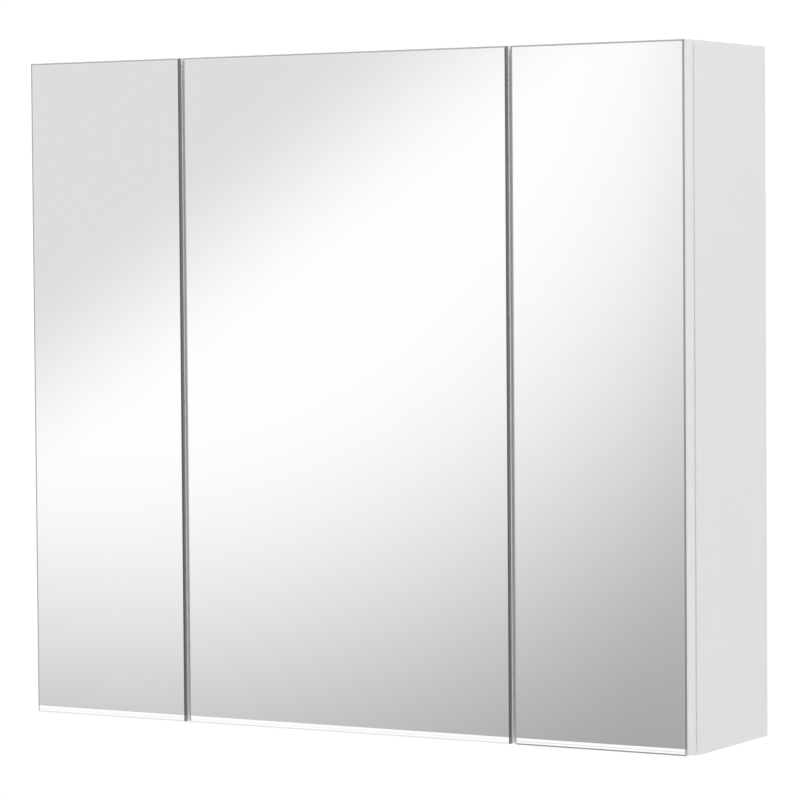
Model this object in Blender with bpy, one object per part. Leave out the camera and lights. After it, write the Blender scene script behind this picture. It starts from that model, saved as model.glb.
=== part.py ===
"""Wall-hung medicine cabinet with three mirrored doors on concealed cup hinges.

Units are millimetres in this script and metres in the scene. X runs to the right, Y from the doors
back to the wall, Z up. The origin is the middle of the wall rail's rear face, in the wall plane.
"""

import math

import bmesh
import bpy
from mathutils import Vector

MM = 0.001

# Case
CASE_WIDTH = 800.0
CASE_HEIGHT = 720.0
CASE_DEPTH = 170.0
BOARD = 16.0
EDGE_BEVEL = 0.5
JOINT_GAP = 0.2
PARTITION_X = 200.0
BACK_THICKNESS = 3.0
BACK_RECESS = 12.0
BACK_GROOVE = 6.0
GROOVE_PLAY = 0.3

# Shelves
GLASS_SHELF = 5.0
SHELF_LEVELS = (240.0, 475.0)
SHELF_DEPTH = 118.0
SHELF_SIDE_PLAY = 1.0
SHELF_BACK_PLAY = 3.0
PIN_FROM_EDGE = 22.0
PIN_HOLE_RADIUS = 2.5
PIN_HOLE_DEPTH = 7.0
PIN_HOLE_PITCH = 32.0
PIN_HOLE_STEPS = (-2, -1, 1, 2)
PIN_HOLE_SIDES = 12

# Doors
DOOR_GAP = 2.0
DOOR_BOTTOM_REVEAL = 2.0
DOOR_SIDE_INSET = 1.0
DOOR_SPLIT_GAP = 4.0
TAPE = 0.2
MIRROR = 4.0
MIRROR_SIDE_INSET = 0.5
MIRROR_TOP_INSET = 0.5
ARRIS_WIDTH = 2.0
ARRIS_DEPTH = 0.8
STRIP_HEIGHT = 7.0
STRIP_PLAY = 0.1
STRIP_GROOVE = 0.5
STRIP_GROOVE_UP = 3.8
STRIP_LIP = 1.5
STRIP_LIP_STEP = 0.4

# Hinges. Positions are (across, out): across from the door's hinged side, out from the case's front
ARM_PIVOT = (31.3, -10.2)
CUP_PIVOT = (11.0, 4.4)
LINK_BEND = ((22.0, 6.5), (14.1, 7.8))
LINK_THICKNESS = 2.2
LINK_HALF_WIDTH = 6.4
HUB_RADIUS = 2.6
PIN_RADIUS = 1.5
PIN_PLAY = 0.3
HINGE_LEVELS = (100.0, 620.0)
CUP_CENTRE = 22.5
CUP_RADIUS = 17.5
CUP_WALL = 1.4
CUP_DEPTH = 12.0
CUP_FLOOR = 1.6
CUP_RIM = 1.2
RIM_RADIUS = 19.7
BORE_PLAY = 0.3
EAR_ACROSS = (24.1, 39.3)
EAR_UP = (16.9, 28.0)
EAR_SCREW = (32.0, 22.5)
EAR_CORNER = 3.0
EAR_STEP = 0.15
SCREW_HOLE = 2.2
ARM_BACK = -64.0
ARM_FRONT = -6.4
ARM_WEB_FRONT = -14.0
ARM_ACROSS = (25.0, 35.0)
ARM_HALF_WIDTH = 8.4
ARM_SHEET = 1.4
ARM_NOSE = 4.0
ARM_CORNER = 1.5
PLATE_BACK = -60.0
PLATE_FRONT = -24.0
PLATE_BASE = 2.2
PLATE_HALF_HEIGHT = 25.0
PLATE_WING = (-45.0, -29.0)
PLATE_SCREW = (-37.0, 16.0)
PLATE_PLAY = 0.4

# Hanging
RAIL_LEVEL = 655.0
RAIL_LENGTH = 764.0
RAIL_HEIGHT = 40.0
RAIL_SHEET = 2.0
RAIL_OFFSET = 5.0
RAIL_LIP = 15.0
RAIL_HOLE = 3.5
RAIL_HOLE_X = (-300.0, -180.0, 180.0, 300.0)
HANGER_WIDTH = 18.0
HANGER_HEIGHT = 56.0
HANGER_DEPTH = 34.0
HANGER_CROWN = 9.0
HANGER_SLOT_WALL = 6.0
HANGER_SIDE_PLAY = 2.0
HANGER_BEVEL = 1.0
HOOK_WIDTH = 12.0
HOOK_SHEET = 2.0
HOOK_DROP = 10.0
HOOK_PLAY = 0.4
SLOT_PLAY = 1.5

ROUND_STEPS = 48
PIN_STEPS = 20
SMOOTH_ANGLE = 30.0
EDGE_ANGLE = 40.0

# How far a cutter runs past the face it cuts through
PAST = 1.0

BOTTOM = -RAIL_LEVEL
TOP = BOTTOM + CASE_HEIGHT
HALF = CASE_WIDTH / 2
FRONT = -CASE_DEPTH
INNER = HALF - BOARD
BACK_FRONT_FACE = -BACK_RECESS - BACK_THICKNESS
DOOR_BACK = FRONT - DOOR_GAP
DOOR_FRONT = DOOR_BACK - BOARD
GLASS_BACK = DOOR_FRONT - TAPE
GLASS_FRONT = GLASS_BACK - MIRROR


def clear_scene():
    for old in list(bpy.data.objects):
        bpy.data.objects.remove(old)


def principled(name, color, roughness, metallic=0.0, transmission=0.0):
    material = bpy.data.materials.new(name)
    material.use_nodes = True
    shader = material.node_tree.nodes["Principled BSDF"]
    shader.inputs["Base Color"].default_value = (*color, 1.0)
    shader.inputs["Roughness"].default_value = roughness
    shader.inputs["Metallic"].default_value = metallic
    shader.inputs["Transmission Weight"].default_value = transmission
    material.diffuse_color = (*color, 1.0)
    return material


def make_materials():
    return {
        "white_board": principled("white_board", (0.86, 0.86, 0.85), 0.45),
        "mirror_glass": principled("mirror_glass", (0.92, 0.94, 0.93), 0.03, metallic=1.0),
        "white_strip": principled("white_strip", (0.9, 0.9, 0.9), 0.3),
        "nickel": principled("nickel", (0.72, 0.71, 0.68), 0.28, metallic=1.0),
        "zinc": principled("zinc", (0.6, 0.62, 0.64), 0.45, metallic=1.0),
        "backing": principled("backing", (0.82, 0.82, 0.8), 0.6),
        "shelf_glass": principled("shelf_glass", (0.8, 0.9, 0.87), 0.03, transmission=1.0),
        "white_plastic": principled("white_plastic", (0.85, 0.85, 0.84), 0.4),
    }


def new_object(name, mesh_data, material=None):
    mesh = bpy.data.meshes.new(name)
    mesh_data.normal_update()
    mesh_data.to_mesh(mesh)
    mesh_data.free()
    obj = bpy.data.objects.new(name, mesh)
    bpy.context.scene.collection.objects.link(obj)
    if material is not None:
        mesh.materials.append(material)
    return obj


def shade_round(obj):
    obj.data.polygons.foreach_set("use_smooth", [True] * len(obj.data.polygons))
    obj.data.set_sharp_from_angle(angle=math.radians(SMOOTH_ANGLE))


def add_shell(data, loops):
    """Skin between equal-length closed loops of points, with the two end loops filled."""
    rings = [[data.verts.new(Vector(point) * MM) for point in loop] for loop in loops]
    count = len(rings[0])
    for low, high in zip(rings, rings[1:]):
        for i in range(count):
            j = (i + 1) % count
            data.faces.new((low[i], low[j], high[j], high[i]))
    data.faces.new(list(reversed(rings[0])))
    data.faces.new(rings[-1])
    bmesh.ops.recalc_face_normals(data, faces=data.faces)


def loops_to_solid(loops):
    data = bmesh.new()
    add_shell(data, loops)
    return data


def box_data(low, high):
    (x0, y0, z0), (x1, y1, z1) = low, high
    ring = ((x0, y0), (x1, y0), (x1, y1), (x0, y1))
    return loops_to_solid([[(x, y, z) for x, y in ring] for z in (z0, z1)])


def box(name, low, high, material, bevel=0.0):
    obj = new_object(name, box_data(low, high), material)
    if bevel:
        add_bevel(obj, bevel)
    return obj


def add_bevel(obj, width, segments=2):
    modifier = obj.modifiers.new("edge", "BEVEL")
    modifier.width = width * MM
    modifier.segments = segments
    modifier.limit_method = "ANGLE"
    modifier.angle_limit = math.radians(EDGE_ANGLE)


def circle(centre, radius, steps):
    turns = (2 * math.pi * (i + 0.5) / steps for i in range(steps))
    return [(centre[0] + radius * math.cos(t), centre[1] + radius * math.sin(t)) for t in turns]


def rect(a0, b0, a1, b1):
    return ((a0, b0), (a1, b0), (a1, b1), (a0, b1))


def rounded(a0, b0, a1, b1, radius, steps=5):
    """Outline of a rectangle with rounded corners."""
    corners = ((a1, b1, 0), (a0, b1, 1), (a0, b0, 2), (a1, b0, 3))
    outline = []
    for a, b, quarter in corners:
        centre_a = a - radius if a == a1 else a + radius
        centre_b = b - radius if b == b1 else b + radius
        for i in range(steps + 1):
            turn = math.pi / 2 * (quarter + i / steps)
            outline.append((centre_a + radius * math.cos(turn), centre_b + radius * math.sin(turn)))
    return outline


def prism(name, outline, low, high, place, material=None):
    """Outline of (a, b) pairs pushed from low to high; place turns (a, b, push) into (x, y, z)."""
    loops = [[place(a, b, push) for a, b in outline] for push in (low, high)]
    return new_object(name, loops_to_solid(loops), material)


def combine(obj, tool, operation):
    tool.hide_render = True
    tool.display_type = "WIRE"
    modifier = obj.modifiers.new(tool.name, "BOOLEAN")
    modifier.operation = operation
    modifier.solver = "EXACT"
    modifier.object = tool


def cut(obj, tool):
    combine(obj, tool, "DIFFERENCE")


def join(obj, tool):
    combine(obj, tool, "UNION")


def along_x(a, b, push):
    """(a, b) is (y, z)."""
    return (push, a, b)


def along_y(a, b, push):
    """(a, b) is (x, z)."""
    return (a, push, b)


def cut_pin_holes(board, face, inward):
    """Blind holes above and below the shelves; inward is the way from the face into the board."""
    rear = BACK_FRONT_FACE - SHELF_BACK_PLAY
    rows = (rear - SHELF_DEPTH + PIN_FROM_EDGE, rear - PIN_FROM_EDGE)
    start, end = sorted((face - inward * PAST, face + inward * PIN_HOLE_DEPTH))
    data = bmesh.new()
    for level in SHELF_LEVELS:
        for step in PIN_HOLE_STEPS:
            for y in rows:
                centre = (y, BOTTOM + level + step * PIN_HOLE_PITCH)
                ring = circle(centre, PIN_HOLE_RADIUS, PIN_HOLE_SIDES)
                add_shell(data, [[along_x(a, b, push) for a, b in ring] for push in (start, end)])
    cut(board, new_object(f"{board.name}_pin_holes_{side_word(inward)}", data))


def side_panel(name, side, material):
    outer = side * HALF
    inner = side * INNER
    low = (min(outer, inner), FRONT, BOTTOM)
    high = (max(outer, inner), 0.0, TOP)
    panel = box(name, low, high, material, EDGE_BEVEL)
    groove_end = inner + side * (BACK_GROOVE + GROOVE_PLAY)
    start = inner - side * PAST
    groove = box(
        name + "_groove",
        (min(groove_end, start), BACK_FRONT_FACE - GROOVE_PLAY, BOTTOM - PAST),
        (max(groove_end, start), -BACK_RECESS + GROOVE_PLAY, TOP + PAST),
        None,
    )
    cut(panel, groove)
    cut_pin_holes(panel, inner, side)
    return panel


def level_panel(name, low_z, inner_way, material):
    """Top or bottom board between the sides, grooved on its inner face for the back sheet."""
    reach = INNER - JOINT_GAP
    panel = box(name, (-reach, FRONT, low_z), (reach, 0.0, low_z + BOARD), material, EDGE_BEVEL)
    face = low_z + BOARD if inner_way > 0 else low_z
    start, end = sorted((face + inner_way * PAST, face - inner_way * (BACK_GROOVE + GROOVE_PLAY)))
    groove = box(
        name + "_groove",
        (-reach - PAST, BACK_FRONT_FACE - GROOVE_PLAY, start),
        (reach + PAST, -BACK_RECESS + GROOVE_PLAY, end),
        None,
    )
    cut(panel, groove)
    return panel


def partition(name, x, material):
    low = (x - BOARD / 2, FRONT, BOTTOM + BOARD + JOINT_GAP)
    high = (x + BOARD / 2, BACK_FRONT_FACE - GROOVE_PLAY, TOP - BOARD - JOINT_GAP)
    board = box(name, low, high, material, EDGE_BEVEL)
    for side in (-1, 1):
        cut_pin_holes(board, x + side * BOARD / 2, -side)
    return board


def back_sheet(material):
    reach = INNER + BACK_GROOVE
    low = (-reach, BACK_FRONT_FACE, BOTTOM + BOARD - BACK_GROOVE)
    high = (reach, -BACK_RECESS, TOP - BOARD + BACK_GROOVE)
    sheet = box("back_panel", low, high, material)
    for side in (-1, 1):
        x = hook_x(side)
        half = HOOK_WIDTH / 2 + SLOT_PLAY
        slot = box(
            f"hook_slot_{side_word(side)}",
            (x - half, BACK_FRONT_FACE - PAST, hook_level() - HOOK_DROP - SLOT_PLAY),
            (x + half, 0.0, hook_level() + HOOK_SHEET + SLOT_PLAY),
            None,
        )
        cut(sheet, slot)
    return sheet


def side_word(side):
    return "left" if side < 0 else "right"


def shelf_bays():
    """(name, low x, high x) of the three compartments."""
    near = PARTITION_X - BOARD / 2
    far = PARTITION_X + BOARD / 2
    return (("left", -INNER, -far), ("centre", -near, near), ("right", far, INNER))


def glass_shelves(material):
    rear = BACK_FRONT_FACE - SHELF_BACK_PLAY
    for bay, low_x, high_x in shelf_bays():
        for number, level in enumerate(SHELF_LEVELS, 1):
            low = (low_x + SHELF_SIDE_PLAY, rear - SHELF_DEPTH, BOTTOM + level)
            high = (high_x - SHELF_SIDE_PLAY, rear, BOTTOM + level + GLASS_SHELF)
            box(f"shelf_{bay}_{number}", low, high, material, EDGE_BEVEL)


def door_spans():
    """(name, low x, high x, hinged side, hinge datum x, distance from datum to the carrying panel)."""
    edge = HALF - DOOR_SIDE_INSET
    split = DOOR_SPLIT_GAP / 2
    near = PARTITION_X - split
    far = PARTITION_X + split
    centre_datum = -near - DOOR_SIDE_INSET
    centre_face = -PARTITION_X + BOARD / 2 - centre_datum
    return (
        ("left", -edge, -far, -1, -HALF, BOARD),
        ("centre", -near, near, -1, centre_datum, centre_face),
        ("right", far, edge, 1, HALF, BOARD),
    )


def hinge_place(side, datum):
    """Turns (across, out, z) at a hinged side into (x, y, z)."""

    def place(across, out, z):
        return (datum - side * across, FRONT - out, z)

    return place


def door_board(name, low_x, high_x, side, datum, material):
    low = (low_x, DOOR_FRONT, BOTTOM + DOOR_BOTTOM_REVEAL)
    high = (high_x, DOOR_BACK, TOP)
    board = box(f"door_{name}", low, high, material, EDGE_BEVEL)
    for number, level in enumerate(HINGE_LEVELS, 1):
        centre = (datum - side * CUP_CENTRE, BOTTOM + level)
        outline = circle(centre, CUP_RADIUS + BORE_PLAY, ROUND_STEPS)
        floor = DOOR_BACK - CUP_DEPTH - BORE_PLAY
        bore = prism(f"bore_{name}_{number}", outline, floor, DOOR_BACK + PAST, along_y)
        cut(board, bore)
    shade_round(board)
    return board


def mirror_sheet(name, low_x, high_x, material):
    """Glass with a polished arris along its sides and top; its lower edge butts on the strip."""
    x0 = low_x + MIRROR_SIDE_INSET
    x1 = high_x - MIRROR_SIDE_INSET
    z0 = BOTTOM + DOOR_BOTTOM_REVEAL + STRIP_HEIGHT + STRIP_PLAY
    z1 = TOP - MIRROR_TOP_INSET
    loops = []
    for y, inset in ((GLASS_BACK, 0.0), (GLASS_FRONT + ARRIS_DEPTH, 0.0), (GLASS_FRONT, ARRIS_WIDTH)):
        a0, a1 = x0 + inset, x1 - inset
        b1 = z1 - inset
        loops.append([(a0, y, z0), (a1, y, z0), (a1, y, b1), (a0, y, b1)])
    return new_object(f"mirror_{name}", loops_to_solid(loops), material)


def bottom_strip(name, low_x, high_x, material):
    """White strip that holds the mirror's lower edge, with a fine groove and a stepped lower lip.

    Its ends are bevelled like the sides of the glass above it.
    """
    z0 = BOTTOM + DOOR_BOTTOM_REVEAL
    z1 = z0 + STRIP_HEIGHT
    lip = GLASS_FRONT + STRIP_LIP_STEP
    middle = z0 + STRIP_GROOVE_UP
    half = STRIP_GROOVE / 2
    outline = (
        (GLASS_BACK, z0),
        (GLASS_BACK, z1),
        (GLASS_FRONT, z1),
        (GLASS_FRONT, middle + half),
        (GLASS_FRONT + STRIP_GROOVE, middle),
        (GLASS_FRONT, middle - half),
        (GLASS_FRONT, z0 + STRIP_LIP),
        (lip, z0 + STRIP_LIP),
        (lip, z0),
    )
    end = GLASS_FRONT + ARRIS_DEPTH
    x0 = low_x + MIRROR_SIDE_INSET
    x1 = high_x - MIRROR_SIDE_INSET
    rings = ((x0, end), (x0 + ARRIS_WIDTH, GLASS_FRONT), (x1 - ARRIS_WIDTH, GLASS_FRONT), (x1, end))
    loops = [[(x, y + front - GLASS_FRONT if y < end else y, z) for y, z in outline] for x, front in rings]
    return new_object(f"strip_{name}", loops_to_solid(loops), material)


def hinge_cup(name, place, level, material):
    """Pot pressed into the door, with two screw ears and the pin the link turns on."""
    centre = (CUP_CENTRE, level)

    def across_z(a, b, push):
        return place(a, push, b)

    top = DOOR_GAP - CUP_RIM
    under = DOOR_GAP - JOINT_GAP
    bottom = DOOR_GAP + CUP_DEPTH
    inside = CUP_RADIUS - CUP_WALL
    profile = (
        (CUP_RADIUS, bottom),
        (CUP_RADIUS, under),
        (RIM_RADIUS, under),
        (RIM_RADIUS, top),
        (inside, top),
        (inside, bottom - CUP_FLOOR),
    )
    rings = [
        [across_z(a, b, out) for a, b in circle(centre, radius, ROUND_STEPS)] for radius, out in profile
    ]
    pot = new_object(name, loops_to_solid(rings), material)
    shade_round(pot)
    x0, x1 = EAR_ACROSS
    z0, z1 = EAR_UP
    for word, sign in (("low", -1), ("high", 1)):
        base, tip = sorted((level + sign * z0, level + sign * z1))
        plan = rounded(x0, base, x1, tip, EAR_CORNER)
        ear = prism(f"{name}_ear_{word}", plan, top + EAR_STEP, under - EAR_STEP, across_z)
        join(pot, ear)
        at = (EAR_SCREW[0], level + sign * EAR_SCREW[1])
        ring = circle(at, SCREW_HOLE, PIN_STEPS)
        hole = prism(f"{name}_hole_{word}", ring, top - PAST, DOOR_GAP + PAST, across_z)
        cut(pot, hole)
    reach = math.sqrt((CUP_RADIUS - CUP_WALL / 2) ** 2 - (CUP_CENTRE - CUP_PIVOT[0]) ** 2)
    pin_outline = circle(CUP_PIVOT, PIN_RADIUS, PIN_STEPS)
    pin = prism(name + "_pin", pin_outline, level - reach, level + reach, place)
    shade_round(pin)
    join(pot, pin)
    return pot


def thick_path(points, half):
    """Outline of a strip of constant thickness that follows the points."""
    path = [Vector(point) for point in points]
    ways = [(b - a).normalized() for a, b in zip(path, path[1:])]
    sides = [Vector((-way.y, way.x)) for way in ways]
    left = []
    right = []
    for i, point in enumerate(path):
        before = sides[max(i - 1, 0)]
        after = sides[min(i, len(sides) - 1)]
        middle = (before + after).normalized()
        shift = middle * (half / middle.dot(after))
        left.append(tuple(point + shift))
        right.append(tuple(point - shift))
    return left + right[::-1]


def hinge_link(name, place, level, material):
    """Bent steel link from the arm's pin to the cup's pin, with a rolled eye at each end."""
    low = level - LINK_HALF_WIDTH
    high = level + LINK_HALF_WIDTH
    path = (ARM_PIVOT, *LINK_BEND, CUP_PIVOT)
    link = prism(name, thick_path(path, LINK_THICKNESS / 2), low, high, place, material)
    for word, centre in (("arm", ARM_PIVOT), ("cup", CUP_PIVOT)):
        eye = prism(f"{name}_eye_{word}", circle(centre, HUB_RADIUS, ROUND_STEPS // 2), low, high, place)
        shade_round(eye)
        join(link, eye)
    for word, centre in (("arm", ARM_PIVOT), ("cup", CUP_PIVOT)):
        outline = circle(centre, PIN_RADIUS + PIN_PLAY, PIN_STEPS)
        hole = prism(f"{name}_hole_{word}", outline, low - PAST, high + PAST, place)
        shade_round(hole)
        cut(link, hole)
    return link


def hinge_arm(name, place, level, material):
    """Folded channel over the mounting plate; its two cheeks carry the link's pin."""
    a0, a1 = ARM_ACROSS
    low = level - ARM_HALF_WIDTH
    high = level + ARM_HALF_WIDTH
    nose = ARM_PIVOT[0] - ARM_NOSE
    outline = (
        (a0, ARM_BACK),
        (a1, ARM_BACK),
        (a1, ARM_PIVOT[1]),
        (a1 - ARM_CORNER, ARM_FRONT),
        (nose, ARM_FRONT),
        (nose - ARM_CORNER, ARM_PIVOT[1]),
        (a0, ARM_WEB_FRONT - ARM_CORNER),
    )
    arm = prism(name, outline, low, high, place, material)
    inner_low = level - ARM_HALF_WIDTH + ARM_SHEET
    inner_high = level + ARM_HALF_WIDTH - ARM_SHEET
    under = a1 - ARM_SHEET
    inside = rect(a0 - PAST, ARM_BACK - PAST, under, PAST)
    cut(arm, prism(name + "_inside", inside, inner_low, inner_high, place))
    window = rect(under - PAST, ARM_WEB_FRONT, a1 + PAST, PAST)
    cut(arm, prism(name + "_window", window, inner_low, inner_high, place))
    reach = ARM_HALF_WIDTH - ARM_SHEET / 2
    pin = prism(
        name + "_pin", circle(ARM_PIVOT, PIN_RADIUS, PIN_STEPS), level - reach, level + reach, place
    )
    shade_round(pin)
    join(arm, pin)
    return arm


def mounting_plate(name, place, level, panel_face, material):
    """Cross plate screwed to the panel, with the block that the arm clips over."""

    base = panel_face + JOINT_GAP
    half = ARM_HALF_WIDTH - ARM_SHEET - PLATE_PLAY
    top = ARM_ACROSS[1] - ARM_SHEET - PLATE_PLAY
    block = rect(base, PLATE_BACK, top, PLATE_FRONT)
    plate = prism(name, block, level - half, level + half, place, material)
    wing_outline = rect(base, PLATE_WING[0], base + PLATE_BASE, PLATE_WING[1])
    wing = prism(
        name + "_wing", wing_outline, level - PLATE_HALF_HEIGHT, level + PLATE_HALF_HEIGHT, place
    )
    join(plate, wing)

    def through(a, b, push):
        return place(push, a, b)

    screw_out, screw_up = PLATE_SCREW
    for word, sign in (("low", -1), ("high", 1)):
        at = (screw_out, level + sign * screw_up)
        outline = circle(at, SCREW_HOLE, PIN_STEPS)
        cut(plate, prism(f"{name}_hole_{word}", outline, base - PAST, base + PLATE_BASE + PAST, through))
    return plate


def doors_and_hinges(materials):
    for name, low_x, high_x, side, datum, panel_face in door_spans():
        place = hinge_place(side, datum)
        door_board(name, low_x, high_x, side, datum, materials["white_board"])
        mirror_sheet(name, low_x, high_x, materials["mirror_glass"])
        bottom_strip(name, low_x, high_x, materials["white_strip"])
        for number, height in enumerate(HINGE_LEVELS, 1):
            level = BOTTOM + height
            nickel = materials["nickel"]
            hinge_cup(f"hinge_cup_{name}_{number}", place, level, nickel)
            hinge_link(f"hinge_link_{name}_{number}", place, level, nickel)
            hinge_arm(f"hinge_arm_{name}_{number}", place, level, nickel)
            mounting_plate(f"hinge_plate_{name}_{number}", place, level, panel_face, nickel)


def hook_x(side):
    return side * (INNER - HANGER_WIDTH / 2 - HANGER_SIDE_PLAY)


def hook_level():
    """Underside of the hook's bar, just above the rail's upper edge."""
    return BOTTOM + RAIL_LEVEL + RAIL_HEIGHT / 2 + RAIL_LIP + HOOK_PLAY


def wall_rail(material):
    """Steel strip flat on the wall, its upper edge stepped forward to take the hooks."""
    low = BOTTOM + RAIL_LEVEL - RAIL_HEIGHT / 2
    high = BOTTOM + RAIL_LEVEL + RAIL_HEIGHT / 2
    front = -RAIL_OFFSET
    outline = (
        (0.0, low),
        (0.0, high),
        (front + RAIL_SHEET, high + RAIL_OFFSET - RAIL_SHEET),
        (front + RAIL_SHEET, high + RAIL_LIP),
        (front, high + RAIL_LIP),
        (front, high + RAIL_OFFSET - RAIL_SHEET),
        (-RAIL_SHEET, high),
        (-RAIL_SHEET, low),
    )
    rail = prism("wall_rail", outline, -RAIL_LENGTH / 2, RAIL_LENGTH / 2, along_x, material)
    for number, x in enumerate(RAIL_HOLE_X, 1):
        ring = circle((x, BOTTOM + RAIL_LEVEL), RAIL_HOLE, PIN_STEPS)
        hole = prism(f"rail_hole_{number}", ring, -RAIL_SHEET - PAST, PAST, along_y)
        cut(rail, hole)
    return rail


def hanger(side, materials):
    """Plastic hanger block in the upper corner and the steel hook that reaches through the back."""
    word = side_word(side)
    x = hook_x(side)
    face = BACK_FRONT_FACE - JOINT_GAP
    half = HANGER_WIDTH / 2
    bar = hook_level()
    top = bar + HOOK_SHEET + HANGER_CROWN
    block = box(
        f"hanger_block_{word}",
        (x - half, face - HANGER_DEPTH, top - HANGER_HEIGHT),
        (x + half, face, top),
        materials["white_plastic"],
        HANGER_BEVEL,
    )
    hook_half = HOOK_WIDTH / 2
    room = HOOK_PLAY
    slot = box(
        f"hanger_slot_{word}",
        (x - hook_half - room, face - HANGER_DEPTH + HANGER_SLOT_WALL, bar - room),
        (x + hook_half + room, face + PAST, bar + HOOK_SHEET + room),
        None,
    )
    cut(block, slot)
    lip_front = -RAIL_OFFSET + RAIL_SHEET + HOOK_PLAY
    outline = (
        (face - HANGER_DEPTH + HANGER_SLOT_WALL + room, bar),
        (lip_front, bar),
        (lip_front, bar - HOOK_DROP),
        (lip_front + HOOK_SHEET, bar - HOOK_DROP),
        (lip_front + HOOK_SHEET, bar + HOOK_SHEET),
        (face - HANGER_DEPTH + HANGER_SLOT_WALL + room, bar + HOOK_SHEET),
    )
    hook_name = f"hanger_hook_{word}"
    prism(hook_name, outline, x - hook_half, x + hook_half, along_x, materials["zinc"])


def case(materials):
    board = materials["white_board"]
    for side in (-1, 1):
        side_panel(f"side_panel_{side_word(side)}", side, board)
        partition(f"partition_{side_word(side)}", side * PARTITION_X, board)
    level_panel("bottom_panel", BOTTOM, 1, board)
    level_panel("top_panel", TOP - BOARD, -1, board)
    back_sheet(materials["backing"])


def main():
    clear_scene()
    materials = make_materials()
    case(materials)
    glass_shelves(materials["shelf_glass"])
    doors_and_hinges(materials)
    wall_rail(materials["zinc"])
    for side in (-1, 1):
        hanger(side, materials)


main()
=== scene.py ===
# %% [markdown]
# # A mirrored medicine cabinet
#
# The cabinet is a white board case that hangs on a wall rail. Three mirrored doors swing on concealed
# cup hinges, and glass shelves stand inside. The solids come ready from the CAD model. This script
# gives them their finishes, adds the small fittings, and sets up a plain studio.
#
# The first cell loads the solids and keeps the box they fill.

import math

import bpy
from mathutils import Matrix, Vector


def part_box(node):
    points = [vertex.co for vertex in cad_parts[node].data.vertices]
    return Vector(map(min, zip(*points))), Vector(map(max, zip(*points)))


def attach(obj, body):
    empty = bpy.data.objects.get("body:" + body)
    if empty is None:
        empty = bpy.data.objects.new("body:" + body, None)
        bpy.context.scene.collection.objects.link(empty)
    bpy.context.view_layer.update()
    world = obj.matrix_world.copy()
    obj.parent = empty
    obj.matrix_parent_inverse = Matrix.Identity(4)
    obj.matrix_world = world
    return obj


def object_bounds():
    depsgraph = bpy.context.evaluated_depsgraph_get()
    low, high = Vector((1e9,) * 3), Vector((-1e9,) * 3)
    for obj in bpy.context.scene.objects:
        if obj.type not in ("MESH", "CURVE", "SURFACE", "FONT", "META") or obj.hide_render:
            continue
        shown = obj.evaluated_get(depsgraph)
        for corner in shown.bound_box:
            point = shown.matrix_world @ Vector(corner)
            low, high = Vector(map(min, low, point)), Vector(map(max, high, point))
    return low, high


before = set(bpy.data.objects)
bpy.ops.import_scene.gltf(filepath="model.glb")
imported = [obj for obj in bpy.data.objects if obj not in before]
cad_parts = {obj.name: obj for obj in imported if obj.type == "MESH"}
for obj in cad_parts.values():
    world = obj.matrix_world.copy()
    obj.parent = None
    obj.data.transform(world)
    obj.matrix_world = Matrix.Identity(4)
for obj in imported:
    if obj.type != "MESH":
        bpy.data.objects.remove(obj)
solids_low, solids_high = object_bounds()
MM = 0.001
print("cabinet", [round(side / MM, 1) for side in solids_high - solids_low], "mm")


# %% [markdown]
# ## Places taken from the solids
#
# Every fitting is placed from the solids it belongs to, by named distances from their faces. These
# few faces are used again and again: the front edge and the underside of the case, the back of the
# doors, and the three doors with the side on which each is hinged.

# %% Faces of the case and the doors
SIDES = {"left": -1, "right": 1}
DOORS = {"left": -1, "centre": -1, "right": 1}
PANELS = (
    "side_panel_left",
    "side_panel_right",
    "top_panel",
    "bottom_panel",
    "partition_left",
    "partition_right",
)

case_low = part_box("side_panel_right")[0]
case_front = case_low.y
case_bottom = case_low.z
door_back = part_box("door_centre")[1].y
print("case front", round(case_front / MM, 1), "door back", round(door_back / MM, 1))


# %% [markdown]
# ## Writing a finish as sums
#
# A finish is a node tree, and most of it is arithmetic: a mask is a distance, divided, clamped and
# turned round. Wired by hand that takes many Math nodes. `Wire` stands for one socket, and adding or
# multiplying two wires adds the Math node for it, so a mask is written as a formula. `Finish` holds a
# material, its Principled shader and one method that makes any other node.

# %% A wire and a finish
class Wire:
    """A value on its way through a finish; sums of wires add Math nodes."""

    def __init__(self, finish, socket):
        self.finish = finish
        self.socket = socket

    def __add__(self, other):
        return self.finish.sum("ADD", self, other)

    def __sub__(self, other):
        return self.finish.sum("SUBTRACT", self, other)

    def __rsub__(self, other):
        return self.finish.sum("SUBTRACT", other, self)

    def __mul__(self, other):
        return self.finish.sum("MULTIPLY", self, other)

    def __truediv__(self, other):
        return self.finish.sum("DIVIDE", self, other)

    def __abs__(self):
        return self.finish.sum("ABSOLUTE", self)

    __radd__ = __add__
    __rmul__ = __mul__

    def at_most(self, other):
        return self.finish.sum("MINIMUM", self, other)

    def at_least(self, other):
        return self.finish.sum("MAXIMUM", self, other)

    def clamped(self):
        return self.at_most(1.0).at_least(0.0)


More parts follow.
